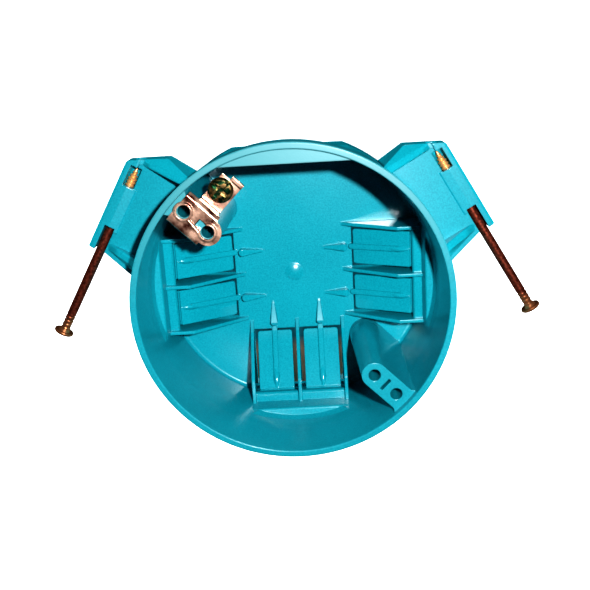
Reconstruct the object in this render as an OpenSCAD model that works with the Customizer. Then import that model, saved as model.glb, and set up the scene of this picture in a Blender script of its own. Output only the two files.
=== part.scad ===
// Round nail-on ceiling box: moulded body, two captive nails, ground strap and ground screw.
// Origin at the middle of the back, +Z out of the open mouth, +Y towards the joist. Millimetres.

/* [Body] */
// Outside diameter of the round rim
rim_d = 101.6; // [100:0.2:106]
// Inside depth from the rim plane to the floor
inside_depth = 46; // [44:0.5:56]
// Thickness of the floor
floor_t = 2.2; // [1.8:0.1:3]
// Thickness of the round wall
wall_t = 1.9; // [1.6:0.1:2.2]
// Amount the round wall leans in between rim and back
wall_lean = 1.5; // [1:0.1:1.8]
// Radius of the fillet between floor and wall
floor_fillet = 1.4; // [0.8:0.1:2.5]
// Depth of the full round rim, equal to the ceiling board it passes through
board_t = 12.7; // [9.5:0.1:15.9]
// Distance from the rim edge in to the face that lies on the joist
joist_back = 5.4; // [5:0.1:5.8]
// Thickness of the flat joist wall
joist_t = 1.2; // [1.1:0.1:1.8]
// Drop of the segment flange below the rim plane
flange_drop = 1; // [0.6:0.1:2]
// Thickness of the segment flange
flange_t = 1.6; // [1.2:0.1:2.4]
// Height of the ledges behind the clamps above the floor
ledge_h = 19.7; // [19:0.1:21]
// Diameter of the low dome in the middle of the floor
dome_d = 6.6; // [5:0.1:8]
// Height of the low dome in the middle of the floor
dome_h = 0.75; // [0.4:0.05:1]

/* [Cable clamps] */
// Distance from the box axis to the start of the clamp ribs
clamp_r0 = 17.5; // [16.5:0.1:18.5]
// Distance from the box axis to the flat wall behind the clamps
clamp_r1 = 44.2; // [43.9:0.1:44.5]
// Sideways distance from the middle rib to an outer rib
clamp_pitch = 16.5; // [16.3:0.1:17]
// Thickness of the clamp ribs
rib_t = 1.2; // [1:0.1:1.4]
// Height of the clamp ribs above the floor
rib_h = 14.5; // [14:0.1:15]
// Width of a clamp flap
flap_w = 12.5; // [11:0.1:12.8]
// Thickness of a clamp flap
flap_t = 1.5; // [1.2:0.1:1.8]
// Distance from the box axis to the free end of a flap
flap_r0 = 21.5; // [21.2:0.1:23]
// Distance from the box axis to the hinge of a flap
flap_r1 = 40.8; // [40.4:0.1:41.2]
// Height of the free end above the floor
flap_z0 = 0.7; // [0.5:0.1:1.5]
// Height of the hinge above the floor
flap_z1 = 11; // [10.5:0.1:11.5]
// Length of a guide ramp on the floor
ramp_l = 9; // [6:0.5:10]
// Height of the blunt end of a guide ramp
ramp_h = 2.6; // [1.5:0.1:3]
// Width of the raised spine along a flap
spine_w = 1.9; // [1.4:0.1:2.2]
// Height of the raised spine above its flap
spine_h = 0.65; // [0.4:0.05:0.9]
// Width of a guide ramp
ramp_w = 2.5; // [2:0.1:3.2]

/* [Fixture bosses] */
// Distance from the rim edge in to the inner fixture holes
inner_back = 15.875; // [15.6:0.025:16.2]
// Distance from the rim edge in to the outer fixture holes
outer_back = 6.35; // [6.2:0.05:6.6]
// Diameter of the fixture holes
boss_hole_d = 3.9; // [3.4:0.1:4.2]
// Drop of the boss top below the rim plane
boss_drop = 2.3; // [2:0.1:4]
// Half width of a boss at its top
boss_w1 = 4.15; // [4:0.05:4.25]
// Half width of a boss at the back
boss_w0 = 5.9; // [5.4:0.1:6.2]
// Depth of the fixture holes
boss_hole_l = 20; // [14:0.5:24]

/* [Nail brackets] */
// Depth of the nail axis below the rim plane
nail_drop = 27; // [26:0.5:30]
// Angle of the nail away from square to the joist
nail_splay = 29.8; // [29:0.1:31]
// Sideways distance from the rim edge in to the nail tip
tip_in = 1.95; // [1.4:0.05:2.4]
// Distance of the nail tip from the joist face
tip_back = 2.9; // [2:0.1:3.5]
// Width of the sleeve on the box side of the nail axis
sleeve_in = 3.4; // [3:0.1:3.8]
// Width of the sleeve on the outer side of the nail axis
sleeve_out = 3.9; // [3.6:0.1:4.2]
// Length of the sleeve measured from the nail tip
sleeve_l = 30.3; // [29.5:0.1:32]
// Length of the window that shows the threads
window_l = 6.5; // [5.5:0.1:9]
// Start of the open channel measured from the nail tip
channel_l = 21.3; // [20:0.1:24]
// Height of the bracket walls below the sleeve top
bracket_h = 8; // [7.6:0.1:10]
// Thickness of the bracket plate and walls
bracket_t = 1.7; // [1.3:0.1:2.2]
// Slope of the bracket plate up to the round wall
plate_slope = 11; // [6:1:14]

/* [Nails] */
// Diameter of the nail shank
nail_d = 3.1; // [2.8:0.05:3.3]
// Length of the nail
nail_l = 63.5; // [60:0.5:70]
// Diameter of the nail head
nail_head_d = 6.6; // [6:0.1:8]
// Thickness of the nail head
nail_head_t = 1.1; // [0.8:0.1:1.6]
// Clearance between nail and sleeve
nail_gap = 0.15; // [0.05:0.05:0.25]

/* [Ground strap] */
// Thickness of the folded strap
strap_t = 1.2; // [0.9:0.1:1.2]
// Inner radius of the strap folds
fold_r = 0.4; // [0.3:0.05:0.5]
// Diameter of the strap holes
strap_hole_d = 4.3; // [4.2:0.1:4.8]
// Depth of the screw plate below the rim plane
plate_drop = 8; // [7:0.1:10]
// Length of the screw plate beyond the boss
plate_l = 10; // [9.6:0.1:10.2]
// Distance from the strap's web to the ground screw
screw_back = 5.75; // [5.5:0.05:6]
// Diameter of the ground screw head
screw_head_d = 7.9; // [7:0.1:8.2]
// Height of the ground screw head
screw_head_h = 2.2; // [1.6:0.1:3]
// Diameter of the ground screw shank
screw_d = 4.1; // [3.4:0.1:4.2]
// Length of the ground screw below its head
screw_l = 9; // [5:0.5:12]

/* [Hidden] */
$fn = 96;
e = 0.01;
box_h = inside_depth + floor_t;
rim_r = rim_d / 2;
in_r1 = rim_r - wall_t;
in_r0 = in_r1 - wall_lean;
joist_y = rim_r - joist_back;
joist_in = joist_y - joist_t;
shelf_z = floor_t + rib_h - 1.5;
shelf_z0 = floor_t + flap_z1 - 0.6;
ledge_z = floor_t + ledge_h;
recess_h = floor_t + rib_h - 1.4;
flap_a = atan2(flap_z1 - flap_z0, flap_r1 - 0.5 - flap_r0);
flap_y = clamp_pitch / 2 + 0.1;
boss_z = box_h - boss_drop;
hole_in = rim_r - inner_back;
hole_out = rim_r - outer_back;
nail_z = box_h - nail_drop;
nail_r = nail_d / 2;
sleeve_top = nail_z + 3.7;
bracket_z0 = sleeve_top - bracket_h;
tip = [rim_r - tip_in, joist_y - tip_back];
ax = [sin(nail_splay), -cos(nail_splay)];
out = [cos(nail_splay), sin(nail_splay)];
end_wall = [rim_r - 2.2, 3];
corner_joist = [tip[0] - 10.85, joist_y];
corner_in = [tip[0] - 24.85, joist_y - 9.6];
sheet_z = boss_z + strap_t;
plate_z = box_h - plate_drop;
web_v = boss_w1 + 0.45;
plate_v = web_v + strap_t + fold_r;
screw_u = hole_in + 5.2;
screw_v = web_v + strap_t + screw_back;
tab_u = rim_r - 3.8;

function along(s, t) = tip + s * ax + t * out;

body();
nailLeft();  // nail_left
nailRight();  // nail_right
groundStrap();  // ground_strap
groundScrew();  // ground_screw

// Everything on the joist side of a plane square to Y
module beyondY(y, z0, z1) {
    translate([-80, y, z0]) cube([160, 80, z1 - z0]);
}

// Round outside with its lean and the broken edge at the back
module roundOutside() {
    lean0 = rim_r - wall_lean;
    rotate_extrude()
        polygon([[0, 0], [lean0 - 0.8, 0], [lean0, 0.8], [rim_r, box_h - 0.3],
            [rim_r - 0.3, box_h], [0, box_h]]);
}

// Round inside with the fillet at the floor
module roundInside() {
    rotate_extrude() {
        polygon([[0, floor_t], [in_r0 - floor_fillet, floor_t], [in_r0 - 0.3, floor_t + floor_fillet * 0.72],
            [in_r1 - 0.25, box_h - 0.25], [in_r1, box_h + e], [0, box_h + e]]);
        translate([in_r0 - floor_fillet, floor_t + floor_fillet]) circle(floor_fillet);
    }
}

module shell() {
    difference() {
        roundOutside();
        difference() {
            roundInside();
            beyondY(joist_in, -e, box_h - flange_drop);
        }
        beyondY(joist_y, -e, box_h - board_t);
        intersection() {
            cylinder(r = in_r1 - 0.25, h = box_h - flange_drop - flange_t);
            beyondY(joist_y - 0.4, box_h - board_t, box_h - flange_drop - flange_t);
        }
    }
    dome_r = (dome_d * dome_d / 4 + dome_h * dome_h) / (2 * dome_h);
    intersection() {
        translate([0, 0, floor_t + dome_h - dome_r]) sphere(dome_r);
        translate([0, 0, floor_t - 0.3]) cylinder(d = dome_d + 2, h = dome_h + 1);
    }
}

// Crescent block behind one pair of clamps, with its ledge and its leaning face
module clampBlock() {
    wall_r = in_r0 + wall_lean * ledge_z / box_h;
    intersection() {
        cylinder(r1 = in_r0 + 0.9, r2 = in_r1 + 0.9, h = box_h);
        translate([0, 24, 0]) rotate([90, 0, 0]) linear_extrude(48)
            polygon([[clamp_r1, 0.9], [clamp_r1, shelf_z], [clamp_r1 + 0.3, ledge_z - 0.5],
                [clamp_r1 + 0.7, ledge_z - 0.1], [60, ledge_z + 1.6], [60, 0.9]]);
    }
    intersection() {
        rotate_extrude() polygon([[wall_r - 1, ledge_z], [wall_r + 0.4, ledge_z + 5],
            [wall_r + 0.9, ledge_z + 5], [wall_r + 0.9, ledge_z - 1], [wall_r - 1, ledge_z - 1]]);
        translate([clamp_r1 + 0.5, -30, 0]) cube([20, 60, box_h]);
    }
}

// One hinged flap with its raised spine, nub and bulge, lying along +X
module flap() {
    z0 = floor_t + flap_z0;
    z1 = floor_t + flap_z1;
    bx = flap_t * sin(flap_a);
    bz = flap_t * cos(flap_a);
    translate([0, flap_w / 2, 0]) rotate([90, 0, 0]) linear_extrude(flap_w) polygon([[flap_r0, z0],
        [flap_r1 - 0.5, z1], [flap_r1 - 0.1, z1 - 0.85], [flap_r1 + 0.3, z1 - 0.2], [flap_r1 + 1.3, z1 - 0.2],
        [flap_r1 + 1.3, z1 - 0.9], [flap_r1 + 0.2, z1 - bz - 0.2],
        [flap_r1 - 0.5 + bx, z1 - bz], [flap_r0 + bx, z0 - bz]]);
    intersection() {
        translate([flap_r0, 0, z0]) rotate([0, -flap_a, 0]) {
            translate([-0.7, -spine_w / 2, -0.9]) cube([18.5, spine_w, 0.9 + spine_h]);
            translate([-0.7, 0, -0.9]) cylinder(d = spine_w, h = 0.9 + spine_h);
        }
        translate([flap_r0 - 3, -2, floor_t - 0.6]) cube([30, 4, 14]);
    }
    translate([flap_r0, 0, z0]) rotate([0, -flap_a, 0]) translate([17.1, 0, -0.1]) rotate([0, 90, 0])
        rotate_extrude() intersection() {
            translate([-8.7, 0]) circle(9.8);
            translate([0, -6]) square([4, 12]);
        }
}

// Plan of the flap with its rounded free corners
module flapPlan() {
    c = 1;
    translate([flap_r0 + c, -flap_w / 2]) square([30, flap_w]);
    translate([flap_r0 - 2, -flap_w / 2 + c]) square([30, flap_w - 2 * c]);
    for (s = [-1, 1]) translate([flap_r0 + c, s * (flap_w / 2 - c)]) circle(c);
}

module clampFlap() {
    intersection() {
        flap();
        linear_extrude(box_h) flapPlan();
    }
}

// Pointed ramp that steers a cable over the free end of a flap
module guideRamp() {
    r1 = clamp_r0 + 1.9;
    w = ramp_w / 2;
    intersection() {
        translate([0, 0, floor_t - 0.4]) linear_extrude(ramp_h + 1) {
            translate([r1 - w, 0]) circle(w);
            polygon([[r1 - ramp_l, w * 0.3], [r1 - w, w], [r1 - w, -w], [r1 - ramp_l, -w * 0.3]]);
        }
        translate([0, 5, floor_t]) rotate([90, 0, 0]) linear_extrude(10)
            polygon([[r1 - ramp_l, -1], [r1 - ramp_l, 0], [r1 - 1.2, ramp_h], [r1 - 0.3, ramp_h - 0.3],
                [r1 + 1, ramp_h - 1.6], [r1 + 1, -1]]);
    }
}

module clampRib() {
    translate([0, rib_t / 2, 0]) rotate([90, 0, 0]) linear_extrude(rib_t) polygon([[clamp_r0, floor_t - 0.6],
        [clamp_r0, floor_t], [clamp_r0 + rib_h * 1.27, floor_t + rib_h], [clamp_r1 + 0.6, floor_t + rib_h],
        [clamp_r1 + 0.6, 0], [clamp_r1 - 1.2, 0], [clamp_r1 - 1.2, floor_t - 0.6]]);
}

module clampPair() {
    clampBlock();
    for (k = [-1, 0, 1]) translate([0, k * clamp_pitch, 0]) clampRib();
    translate([0, clamp_pitch, 0]) rotate([90, 0, 0]) linear_extrude(2 * clamp_pitch)
        polygon([[flap_r1 + 0.2, shelf_z0], [flap_r1 + 0.2, shelf_z - 0.7], [flap_r1 + 0.7, shelf_z],
            [clamp_r1 + 0.3, shelf_z], [clamp_r1 + 0.3, shelf_z0]]);
    for (s = [-1, 1]) translate([0, s * flap_y, 0]) {
        clampFlap();
        guideRamp();
    }
}

// Openings in the floor under the two flaps of a pair, and the flat recess outside
module clampCuts() {
    for (s = [-1, 1]) translate([0, s * clamp_pitch / 2, 0])
        translate([flap_r0 - 0.5, -(clamp_pitch - rib_t) / 2, -e])
            cube([clamp_r1 - 0.7 - flap_r0, clamp_pitch - rib_t, floor_t + 2 * e]);
}

module recessCut() {
    translate([clamp_r1 + 2.4, -30, -e]) cube([20, 60, recess_h]);
}

// Tapered boss with two fixture holes and a cross slot, lying along +X
module boss() {
    intersection() {
        union() {
            translate([hole_in, 0, 0]) cylinder(r1 = boss_w0, r2 = boss_w1, h = boss_z);
            translate([hole_in, 0, 0]) rotate([90, 0, 90]) linear_extrude(20)
                polygon([[-boss_w0, 0], [boss_w0, 0], [boss_w1, boss_z], [-boss_w1, boss_z]]);
            translate([0, 0, 0.5]) linear_extrude(boss_z - 0.5)
                polygon([[hole_out + 1.8, 0], [hole_out + 2.7, boss_w1], [in_r1, boss_w1 + 1.2],
                    [in_r1, -boss_w1 - 1.2], [hole_out + 2.7, -boss_w1]]);
        }
        cylinder(r1 = in_r0 + 0.9, r2 = in_r1 + 0.9, h = box_h);
    }
}

module bossCuts() {
    for (r = [hole_in, hole_out]) translate([r, 0, boss_z - boss_hole_l])
        cylinder(d = boss_hole_d, h = boss_hole_l + e);
    translate([(hole_in + hole_out) / 2 - 0.5, -2.1, boss_z - 8]) cube([1, 4.2, 8 + e]);
    translate([0, 0, -e]) intersection() {
        union() {
            translate([hole_in, 0, 0]) cylinder(r1 = boss_w0 - 1.7, r2 = boss_w0 - 2.6, h = boss_z - boss_hole_l - 1.6);
            translate([hole_in, 0, 0]) rotate([90, 0, 90]) linear_extrude(20)
                polygon([[-boss_w0 + 1.7, 0], [boss_w0 - 1.7, 0],
                    [boss_w0 - 2.6, boss_z - boss_hole_l - 1.6], [-boss_w0 + 2.6, boss_z - boss_hole_l - 1.6]]);
        }
        cylinder(r = in_r0 - 0.5, h = box_h);
    }
}

// Outline of the right bracket seen from the mouth
module bracketOutline() {
    c = joist_y - 1.5;
    s = (joist_y - tip[1] - sleeve_out * out[1]) / ax[1];
    k = along(s, sleeve_out);
    difference() {
        polygon([corner_in, corner_joist, k, along(sleeve_l, sleeve_out),
            along(sleeve_l, -sleeve_out + 1.8), end_wall, [30, 10]]);
        difference() {
            translate([k[0] - 0.78, c - 0.1]) square(4);
            translate([k[0] - 0.88, c]) circle(1.5);
            translate([k[0] - 0.9, c - 4]) square([4, 4]);
        }
    }
}

// Straight strip of wall from one point to another, thickness to its left
module strip(a, b, t) {
    d = b - a;
    translate(a) rotate(atan2(d[1], d[0])) translate([-2, 0]) square([norm(d) + 4, t]);
}

// Ridge that rises from the sleeve to the round wall, cut from a leaning bar
module gusset(from, to, rise, side) {
    d = to - from;
    translate([from[0], from[1], sleeve_top - 0.9]) rotate([0, 0, atan2(d[1], d[0])]) rotate([0, -rise, 0])
        rotate([90, 0, 90]) translate([0, 0, -6]) linear_extrude(norm(d) / cos(rise) + 14)
            polygon([[-side * 1.5, -16], [-side * 1.5, -0.5], [-side * 1, 0], [side * 0.9, -0.2],
                [side * 6.5, -8.4], [side * 6.5, -16]]);
}

module bracketWalls() {
    linear_extrude(sleeve_top - bracket_z0 - 1) {
        strip([rim_d, joist_y], corner_joist, bracket_t);
        strip(corner_joist, corner_in, bracket_t);
        strip(end_wall, along(sleeve_l, -sleeve_out + 1.8), bracket_t);
    }
}

// Sleeve bar with a shallow peak along its top
module sleeve() {
    translate([tip[0], tip[1], sleeve_top]) rotate([0, 0, -90 + nail_splay]) rotate([90, 0, 90]) difference() {
        translate([0, 0, -8]) linear_extrude(sleeve_l + 8)
            polygon([[-sleeve_in, -bracket_h], [-sleeve_in, -1.1], [-sleeve_in + 0.7, -0.35], [0.3, 0.1],
                [sleeve_out - 0.8, -0.35], [sleeve_out, -1.2], [sleeve_out, -bracket_h]]);
        translate([-sleeve_in - 1, -1.7, -9]) cube([sleeve_in + 0.7, 4, window_l + 8.6]);
        translate([-sleeve_in - 1, -1.7, channel_l + 1.2]) cube([sleeve_in + 0.7, 4, sleeve_l]);
    }
}

// Plate that slopes up from the sleeve to the round wall
module slopedPlate() {
    translate([tip[0], tip[1], sleeve_top - 0.75]) rotate([0, 0, -90 + nail_splay]) translate([0, -sleeve_in, 0])
        rotate([-plate_slope, 0, 0]) translate([-12, -40, -bracket_t]) cube([60, 40 + sleeve_in - 0.4, bracket_t]);
}

module bracket() {
    difference() {
        intersection() {
            translate([0, 0, bracket_z0]) linear_extrude(box_h) bracketOutline();
            union() {
                sleeve();
                slopedPlate();
                translate([0, 0, bracket_z0]) bracketWalls();
                gusset(tip + [-2.85, 2.2], tip + [-15.35, -2.7], 40, -1);
                gusset(tip + [11.95, -25.3], tip + [1.75, -30.4], 36, 1);
            }
        }
        translate([0, 0, -e]) cylinder(r1 = in_r0 + 0.6, r2 = in_r1 + 0.6, h = box_h + 1);
        translate([0, 0, box_h - 6]) cylinder(r = 80, h = 60);
        nailSpace();
    }
}

// Room for the nail: through hole, front window, back slot and front channel
module nailSpace() {
    r = nail_r + nail_gap;
    translate([tip[0], tip[1], nail_z]) rotate([0, 0, -90 + nail_splay]) {
        translate([-12, 0, 0]) rotate([0, 90, 0]) cylinder(r = r, h = 12 + sleeve_l + 10);
        translate([-0.6, -r - 0.15, 0]) cube([window_l + 0.6, 2 * r + 0.3, 20]);
        translate([window_l + 0.4, -r, -20]) cube([channel_l - window_l - 0.8, 2 * r, 20]);
        translate([channel_l, -r, 0]) cube([30, 2 * r, 20]);
    }
}

module body() {
    color([0.04, 0.62, 0.7]) difference() {
        union() {
            difference() {
                shell();
                for (a = [0, 180, 270]) rotate([0, 0, a]) clampCuts();
            }
            for (a = [0, 180, 270]) rotate([0, 0, a]) clampPair();
            for (a = [135, 315]) rotate([0, 0, a]) boss();
            bracket();
            mirror([1, 0, 0]) bracket();
        }
        for (a = [0, 180, 270]) rotate([0, 0, a]) recessCut();
        for (a = [135, 315]) rotate([0, 0, a]) bossCuts();
    }
}

// Nail along +X from its tip, with rings near the tip and grip marks under the head
module nail() {
    rings = 12;
    pitch = 1.15;
    start = 1.3;
    function cone(s) = min(nail_r, 0.5 + s * 0.3);
    color([0.36, 0.2, 0.14]) rotate([0, 90, 0]) rotate_extrude() polygon(concat(
        [[0, 0], [0.3, 0.25], [0.55, start - 0.2]],
        [for (k = [0 : rings - 1], q = [[-0.3, 0], [0, 0.28], [0, 0.48], [-0.3, 0.85]])
            [cone(start + k * pitch) + q[0], start + k * pitch + q[1]]],
        [[nail_r, start + rings * pitch + 0.4]],
        [for (k = [0 : 3], q = [[0, 0], [-0.14, 0.25], [-0.14, 0.5], [0, 0.75]])
            [nail_r + q[0], nail_l - 7.4 + k * 1.4 + q[1]]],
        [[nail_r, nail_l - nail_head_t - 0.9], [nail_r + 0.6, nail_l - nail_head_t],
            [nail_head_d / 2 - 0.15, nail_l - nail_head_t], [nail_head_d / 2, nail_l - nail_head_t + 0.25],
            [nail_head_d / 2, nail_l - 0.4], [nail_head_d / 2 - 0.3, nail_l - 0.1], [0, nail_l]]));
}

module nailRight() {
    translate([tip[0], tip[1], nail_z]) rotate([0, 0, -90 + nail_splay]) nail();
}

module nailLeft() {
    mirror([1, 0, 0]) nailRight();
}

// Quarter fold of the sheet about the origin, between two quarter directions
module fold(a) {
    rotate(a) intersection() {
        difference() {
            circle(fold_r + strap_t);
            circle(fold_r);
        }
        square(4);
    }
}

// Section of the strap: flange, tab, web, screw plate and lip, sideways along X
module strapSection() {
    fz = sheet_z - strap_t - fold_r;
    pz = plate_z + fold_r;
    translate([-web_v - strap_t + 0.2, sheet_z - 4.2]) square([strap_t, 4.2 - strap_t - fold_r]);
    translate([-web_v + 0.2 + fold_r, fz]) fold(90);
    translate([-web_v + 0.2 + fold_r, sheet_z - strap_t]) square([2 * web_v - 0.2 - 2 * fold_r, strap_t]);
    translate([web_v - fold_r, fz]) fold(0);
    translate([web_v, pz]) square([strap_t, fz - pz]);
    translate([plate_v, pz]) fold(180);
    translate([plate_v, plate_z - strap_t]) square([plate_l - fold_r, strap_t]);
    translate([plate_v + plate_l - fold_r, pz]) fold(270);
    translate([plate_v + plate_l, pz]) square([strap_t, 1.8]);
}

// Plan of the strap, distance from the box axis along X and sideways along Y
module strapPlan() {
    translate([hole_in, 0.15]) circle(boss_w1 + 0.1);
    translate([hole_in, -boss_w1 + 0.05]) square([tab_u - hole_in, 2 * boss_w1 + 0.2]);
    translate([hole_in, -web_v - 2]) square([tab_u - 0.1 - hole_in, 3]);
    translate([screw_u - 4.5, 3]) square([7.5, plate_v + plate_l - 3 - fold_r]);
    translate([screw_u - 4.5, plate_v]) square([4.4, plate_l + 3]);
}

module groundStrap() {
    color([0.72, 0.45, 0.28]) rotate([0, 0, 135]) mirror([0, 1, 0]) difference() {
        union() {
            intersection() {
                translate([hole_in - 15, 0, 0]) rotate([90, 0, 90]) linear_extrude(30) strapSection();
                union() {
                    linear_extrude(box_h) strapPlan();
                    translate([hole_in, 2, sheet_z - 2.6]) cube([tab_u - 0.1 - hole_in, 5, 5]);
                }
            }
            for (r = [hole_in, hole_out]) translate([r, 0, sheet_z - 0.1])
                cylinder(d1 = strap_hole_d + 2.2, d2 = strap_hole_d + 0.9, h = 0.6);
            translate([hole_in + 1.2, -2, sheet_z - 0.2]) rotate([0, 0, 10]) rotate([0, 90, 0]) cylinder(d = 1.4, h = 5.8);
        }
        for (r = [hole_in, hole_out]) translate([r, 0, boss_z - 1]) cylinder(d = strap_hole_d, h = 5);
        translate([hole_in + 1.7, -0.8, boss_z - 1]) cube([2.8, 2.5, 5]);
        translate([screw_u, screw_v, plate_z - 5]) cylinder(d = screw_d + 0.2, h = 8);
    }
}

// Pan head screw with a long slot and a cross recess, standing in the screw plate
module groundScrew() {
    color([0.35, 0.45, 0.2]) rotate([0, 0, 135]) mirror([0, 1, 0]) translate([screw_u, screw_v, plate_z]) {
        difference() {
            rotate_extrude() polygon(concat(
                [[0, screw_head_h], [screw_head_d * 0.3, screw_head_h - 0.12], [screw_head_d * 0.42, screw_head_h - 0.5],
                    [screw_head_d / 2, screw_head_h - 1.2], [screw_head_d / 2, 0], [screw_d / 2, 0]],
                [for (k = [0 : 6], q = [[0, 0], [-0.3, 0.4], [0, 0.8]])
                    [screw_d / 2 + q[0], -strap_t - 0.4 - k * 0.9 - q[1]]],
                [[screw_d / 2 - 0.3, -screw_l], [0, -screw_l]]));
            translate([-0.6, -5, screw_head_h - 1]) cube([1.2, 10, 3]);
            translate([-2.7, -0.7, screw_head_h - 1.4]) cube([5.4, 1.4, 3]);
            translate([-0.7, -2.7, screw_head_h - 1.4]) cube([1.4, 5.4, 3]);
        }
    }
}
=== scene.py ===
import math

import bpy
from mathutils import Matrix, Vector

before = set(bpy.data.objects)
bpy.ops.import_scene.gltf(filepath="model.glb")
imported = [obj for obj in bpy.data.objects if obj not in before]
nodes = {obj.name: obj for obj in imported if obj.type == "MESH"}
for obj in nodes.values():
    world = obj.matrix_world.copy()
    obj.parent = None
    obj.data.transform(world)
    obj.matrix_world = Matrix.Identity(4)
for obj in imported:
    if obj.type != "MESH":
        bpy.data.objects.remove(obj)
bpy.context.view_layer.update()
boxPieces = list(nodes.values())
print("stage: frame loaded")


class Wire:
    def __init__(self, graph, socket):
        self.graph, self.socket = graph, socket

    def make(self, operation, first, second):
        node = self.graph.add("ShaderNodeMath", {"operation": operation}, {0: first, 1: second})
        return Wire(self.graph, node.outputs[0])

    def __add__(self, other):
        return self.make("ADD", self, other)

    def __radd__(self, other):
        return self.make("ADD", other, self)

    def __sub__(self, other):
        return self.make("SUBTRACT", self, other)

    def __rsub__(self, other):
        return self.make("SUBTRACT", other, self)

    def __mul__(self, other):
        return self.make("MULTIPLY", self, other)

    def __rmul__(self, other):
        return self.make("MULTIPLY", other, self)


class Graph:
    def __init__(self, name):
        self.material = bpy.data.materials.new(name)
        self.material.use_nodes = True
        self.tree = self.material.node_tree
        self.shader = self.tree.nodes["Principled BSDF"]

    def plug(self, value, socket):
        if isinstance(value, Wire):
            self.tree.links.new(value.socket, socket)
        elif hasattr(value, "is_output"):
            self.tree.links.new(value, socket)
        else:
            socket.default_value = value

    def add(self, kind, settings=None, sockets=None):
        node = self.tree.nodes.new(kind)
        for key, value in (settings or {}).items():
            setattr(node, key, value)
        for key, value in (sockets or {}).items():
            self.plug(value, node.inputs[key])
        return node

    def set(self, **sockets):
        for key, value in sockets.items():
            self.plug(value, self.shader.inputs[key.replace("_", " ")])

    def place(self):
        return self.add("ShaderNodeTexCoord").outputs["Object"]

    def axes(self):
        node = self.add("ShaderNodeSeparateXYZ", None, {0: self.place()})
        return [Wire(self, output) for output in node.outputs]

    def reach(self):  # how far a point lies from the middle of the back
        node = self.add("ShaderNodeVectorMath", {"operation": "LENGTH"}, {0: self.place()})
        return Wire(self, node.outputs["Value"])

    def noise(self, scale, detail=3.0):
        sockets = {"Vector": self.place(), "Scale": scale, "Detail": detail}
        return Wire(self, self.add("ShaderNodeTexNoise", None, sockets).outputs[0])

    def blend(self, factor, first, second):
        node = self.add("ShaderNodeMix", {"data_type": "RGBA"}, {0: factor, 6: first, 7: second})
        return node.outputs[2]

    def bump(self, height, strength, distance, edges=None):
        sockets = {"Strength": strength, "Distance": distance, "Height": height}
        if edges:
            sockets["Normal"] = edges
        return self.add("ShaderNodeBump", None, sockets).outputs[0]

    def roundEdges(self, radius):
        return self.add("ShaderNodeBevel", {"samples": 6}, {"Radius": radius}).outputs[0]

    def ramp(self, value, span):  # 0 at the span's first value, 1 at its second
        sockets = {"Value": value, "From Min": span[0], "From Max": span[1]}
        return Wire(self, self.add("ShaderNodeMapRange", None, sockets).outputs[0])


bodyLook = {
    "deep": (0.003, 0.262, 0.33, 1),
    "pale": (0.008, 0.345, 0.418, 1),
    "patchScale": 40.0,
    "patchShare": 0.9,
    "paleShare": 0.05,
    "grainScale": 1900.0,
    "grainDetail": 2.0,
    "grainShare": 2.2,
    "paintedGlare": (0.055, 0.28, 0.32, 1),   # painted highlight: the top edge towards the joist is paler, standing in for the lamp's glare there
    "paintedGlareHeight": (0.0435, 0.0455),
    "paintedGlareSide": (0.0, 0.04),
    "roughness": 0.25,
    "grainRoughness": 0.06,
    "matt": 0.3,                       # the ramps before the lower clamps are duller
    "mattStart": (0.0023, 0.0026),
    "mattStop": (0.005, 0.007),
    "mattSide": (-0.0105, -0.0115),
    "mattEnd": (-0.0214, -0.0211),
    "smooth": 0.1,                     # at the height of the flaps the moulding is smoother
    "smoothStart": (0.003, 0.005),
    "smoothStop": (0.0148, 0.0158),
    "waveScale": 55.0,                 # the walls are slightly uneven
    "waveDetail": 1.0,
    "waveStrength": 0.25,
    "waveDepth": 0.0009,
    "bumpStrength": 0.06,
    "bumpDepth": 0.0002,
    "edgeRadius": 0.0006,
    "sheen": 0.85,                     # a broad shine that grows towards the scuffed rim
    "sheenRoughness": 0.43,
    "scuffHeight": (0.016, 0.046),
    "outsideReach": (0.056, 0.058),    # the nail brackets are scuffed as if they were higher up
    "outsideLift": 0.02,
    "index": 1.5,
}


def bodyMaterial():
    look = bodyLook
    g = Graph("turquoisePvc")
    _, side, height = g.axes()

    patches = g.noise(look["patchScale"])
    grain = g.noise(look["grainScale"], look["grainDetail"]) - 0.5
    tone = look["patchShare"] * patches + look["grainShare"] * grain + look["paleShare"]
    # painted highlight: paler towards the top edge on the joist side, in place of the lamp's glare
    paintedGlare = g.ramp(height, look["paintedGlareHeight"]) * g.ramp(side, look["paintedGlareSide"])

    matt = g.ramp(height, look["mattStart"]) - g.ramp(height, look["mattStop"])
    matt = matt * g.ramp(side, look["mattSide"]) * g.ramp(side, look["mattEnd"])
    smooth = g.ramp(height, look["smoothStart"]) - g.ramp(height, look["smoothStop"])
    outside = g.ramp(g.reach(), look["outsideReach"])
    scuff = g.ramp(height + look["outsideLift"] * outside, look["scuffHeight"])

    wave = g.noise(look["waveScale"], look["waveDetail"])
    wavy = g.bump(wave, look["waveStrength"], look["waveDepth"], g.roundEdges(look["edgeRadius"]))
    g.set(
        Base_Color=g.blend(paintedGlare, g.blend(tone, look["deep"], look["pale"]), look["paintedGlare"]),
        Roughness=look["roughness"]
        + look["grainRoughness"] * grain
        + look["matt"] * matt
        - look["smooth"] * smooth,
        Normal=g.bump(grain, look["bumpStrength"], look["bumpDepth"], wavy),
        Coat_Weight=look["sheen"] * scuff,
        Coat_Roughness=look["sheenRoughness"],
        IOR=look["index"],
    )
    return g.material


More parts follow.
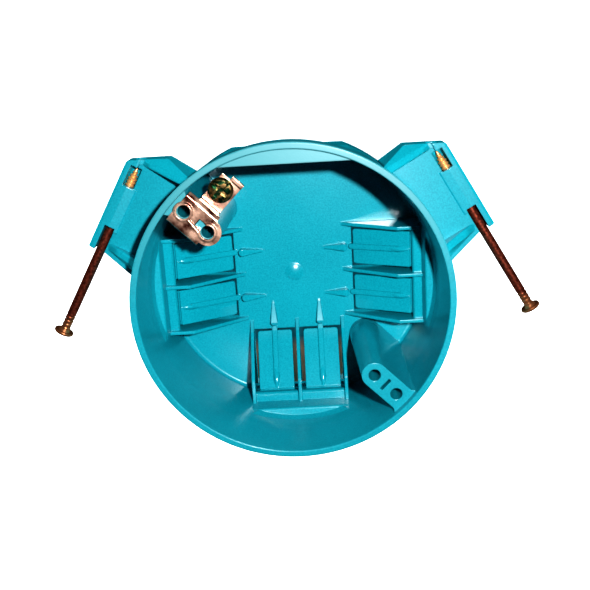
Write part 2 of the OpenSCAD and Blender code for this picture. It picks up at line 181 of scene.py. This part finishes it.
nailLook = {
    "dark": (0.1, 0.02, 0.011, 1),
    "pale": (0.34, 0.085, 0.05, 1),
    "blotchScale": 1100.0,
    "contrast": 2.4,
    "darkShare": 0.7,
    "bare": (0.95, 0.5, 0.22, 1),      # the coating is missing on the rings near the tip
    "bareSide": (0.031, 0.036),
    "wornSide": (-0.006, -0.009),      # and worn on the rings near the head
    "wornShare": 0.3,
    "wornSmooth": 0.08,
    "metallic": 0.8,
    "bareMetallic": 0.65,
    "roughness": 0.3,
    "blotchRoughness": 0.2,
    "bumpStrength": 0.4,
    "bumpDepth": 0.0002,
}


def nailMaterial():
    look = nailLook
    g = Graph("darkCoatedSteel")
    blotch = g.noise(look["blotchScale"])
    _, side, _ = g.axes()
    bare = g.ramp(side, look["bareSide"])
    worn = g.ramp(side, look["wornSide"])
    coated = g.blend(look["contrast"] * blotch - look["darkShare"], look["dark"], look["pale"])
    g.set(
        Base_Color=g.blend(bare + look["wornShare"] * worn, coated, look["bare"]),
        Metallic=look["metallic"] + (look["bareMetallic"] - look["metallic"]) * bare,
        Roughness=look["roughness"] + look["blotchRoughness"] * blotch - look["wornSmooth"] * worn,
        Normal=g.bump(blotch, look["bumpStrength"], look["bumpDepth"]),
    )
    return g.material


def patchyMetal(name, look):
    g = Graph(name)
    patches = g.noise(look["patchScale"])
    edges = g.roundEdges(look["edgeRadius"])
    g.set(
        Base_Color=g.blend(look["contrast"] * patches - look["darkShare"], look["dark"], look["pale"]),
        Metallic=look["metallic"],
        Roughness=look["roughness"] + look["patchRoughness"] * patches,
        Normal=g.bump(patches, look["bumpStrength"], look["bumpDepth"], edges),
    )
    return g.material


strapLook = {
    "dark": (0.1, 0.025, 0.015, 1),
    "pale": (0.96, 0.62, 0.47, 1),
    "patchScale": 240.0,
    "contrast": 4.2,
    "darkShare": 1.45,
    "metallic": 0.7,
    "roughness": 0.16,
    "patchRoughness": 0.2,
    "bumpStrength": 0.3,
    "bumpDepth": 0.0003,
    "edgeRadius": 0.00025,
}

screwLook = {
    "dark": (0.006, 0.045, 0.018, 1),  # green dye, thin enough to show the gold plate
    "pale": (0.55, 0.33, 0.14, 1),
    "patchScale": 620.0,
    "contrast": 4.0,
    "darkShare": 1.8,
    "metallic": 0.9,
    "roughness": 0.22,
    "patchRoughness": 0.15,
    "bumpStrength": 0.4,
    "bumpDepth": 0.0004,
    "edgeRadius": 0.00025,
}


def dress():
    finishes = {
        "body": bodyMaterial(),
        "nails": nailMaterial(),
        "strap": patchyMetal("copperSheet", strapLook),
        "screw": patchyMetal("greenGoldPlate", screwLook),
    }
    slots = {
        "body": "body",
        "nail_left": "nails",
        "nail_right": "nails",
        "ground_strap": "strap",
        "ground_screw": "screw",
    }
    for name, slotName in slots.items():
        piece = nodes[name]
        piece.data.materials.clear()
        piece.data.materials.append(finishes[slotName])


dress()
print("stage: materials")


floorLook = {
    "size": 3.0,
    "open": (0.92, 0.92, 0.92, 1),
    "paintedShadeLower": (0.5, 0.2, 0.13, 1),     # painted shade under the box, brownish where seen through the lower cable slots
    "paintedShadeSides": (0.002, 0.12, 0.15, 1),  # painted shade under the box, dark turquoise where seen through the cable slots left and right
    # the painted shade ends just inside the box's edge
    "paintedShadeEdge": (0.0435, 0.0442),
    "lowerEdge": (-0.03, -0.025),
    "roughness": 0.8,
}


def makeFloor():
    look = floorLook
    bpy.ops.mesh.primitive_plane_add(size=look["size"], location=(0, 0, 0))
    floor = bpy.context.object
    floor.name = "floor"
    g = Graph("paleFloor")
    _, side, _ = g.axes()
    # painted shade: the floor under the box is darker, as if in the box's shadow
    paintedShade = g.blend(g.ramp(side, look["lowerEdge"]), look["paintedShadeLower"], look["paintedShadeSides"])
    g.set(
        Base_Color=g.blend(g.ramp(g.reach(), look["paintedShadeEdge"]), paintedShade, look["open"]),
        Roughness=look["roughness"],
    )
    floor.data.materials.append(g.material)
    floor.visible_diffuse = floor.visible_glossy = False
    return floor


floor = makeFloor()
print("stage: floor")


lightLook = {
    "keyPlace": (0.057, 0.107, 0.360),     # one small lamp, as the hard shadows show
    "keySize": 0.014,
    "keyPower": 1.7,
    "floorPower": 8.0,
    "floorSpread": 2.6,
    "sideAngles": (30, 150, 225, 315),     # light that a white floor throws on the outer walls
    "sideDrop": -0.2,
    "sidePower": 2.8,
    "sideSpread": 0.1,
    "worldPower": 1.0,
}


def makeLight(name, kind, direction, power):
    data = bpy.data.lights.new(name, kind)
    data.energy = power
    light = bpy.data.objects.new(name, data)
    bpy.context.scene.collection.objects.link(light)
    light.rotation_mode = "QUATERNION"
    light.rotation_quaternion = Vector(direction).to_track_quat("Z", "Y")
    return light


def shineOn(light, name, pieces):
    lit = bpy.data.collections.new(name)
    for piece in pieces:
        lit.objects.link(piece)
    light.light_linking.receiver_collection = lit
    return lit


def makeKey():
    look = lightLook
    key = makeLight("key", "AREA", look["keyPlace"], look["keyPower"])
    key.data.shape = "DISK"
    key.data.size = look["keySize"]
    key.location = look["keyPlace"]
    shineOn(key, "litBox", boxPieces)


def makeFloorLight():
    above = makeLight("floorLight", "SUN", (0, 0, 1), lightLook["floorPower"])
    above.data.angle = lightLook["floorSpread"]
    shineOn(above, "litFloor", [floor])


def makeSideLights():
    look = lightLook
    for number, angle in enumerate(look["sideAngles"]):
        turn = math.radians(angle)
        direction = (math.cos(turn), math.sin(turn), look["sideDrop"])
        side = makeLight("side%d" % number, "SUN", direction, look["sidePower"])
        side.data.angle = look["sideSpread"]
        side.light_linking.blocker_collection = shineOn(side, "litSide%d" % number, boxPieces)
        side.visible_glossy = False


def makeWorld():
    world = bpy.data.worlds.new("studio")
    bpy.context.scene.world = world
    world.use_nodes = True
    back = world.node_tree.nodes["Background"]
    back.inputs["Color"].default_value = (1, 1, 1, 1)
    back.inputs["Strength"].default_value = lightLook["worldPower"]
    world.cycles_visibility.diffuse = False
    world.cycles_visibility.glossy = False


makeWorld()
makeKey()
makeFloorLight()
makeSideLights()
print("stage: lights")


cameraLook = {
    "place": (0.00715, 0.07598, 0.31005),
    "right": (0.99832, -0.05743, -0.00813),
    "up": (0.0532, 0.96244, -0.26624),
    "back": (0.02311, 0.26536, 0.96387),
    "lens": 53.7,
    "sensor": 36.0,
    "near": 0.01,
    "far": 20.0,
}


def makeCamera():
    look = cameraLook
    data = bpy.data.cameras.new("view")
    camera = bpy.data.objects.new("view", data)
    bpy.context.scene.collection.objects.link(camera)
    turn = Matrix((look["right"], look["up"], look["back"])).transposed()
    camera.matrix_world = Matrix.Translation(look["place"]) @ turn.to_4x4()
    data.lens = look["lens"]
    data.sensor_width = look["sensor"]
    data.clip_start, data.clip_end = look["near"], look["far"]
    data.dof.use_dof = False
    bpy.context.scene.camera = camera


makeCamera()
bpy.context.scene.view_settings.view_transform = "Standard"
bpy.context.scene.view_settings.look = "High Contrast"
print("stage: camera")
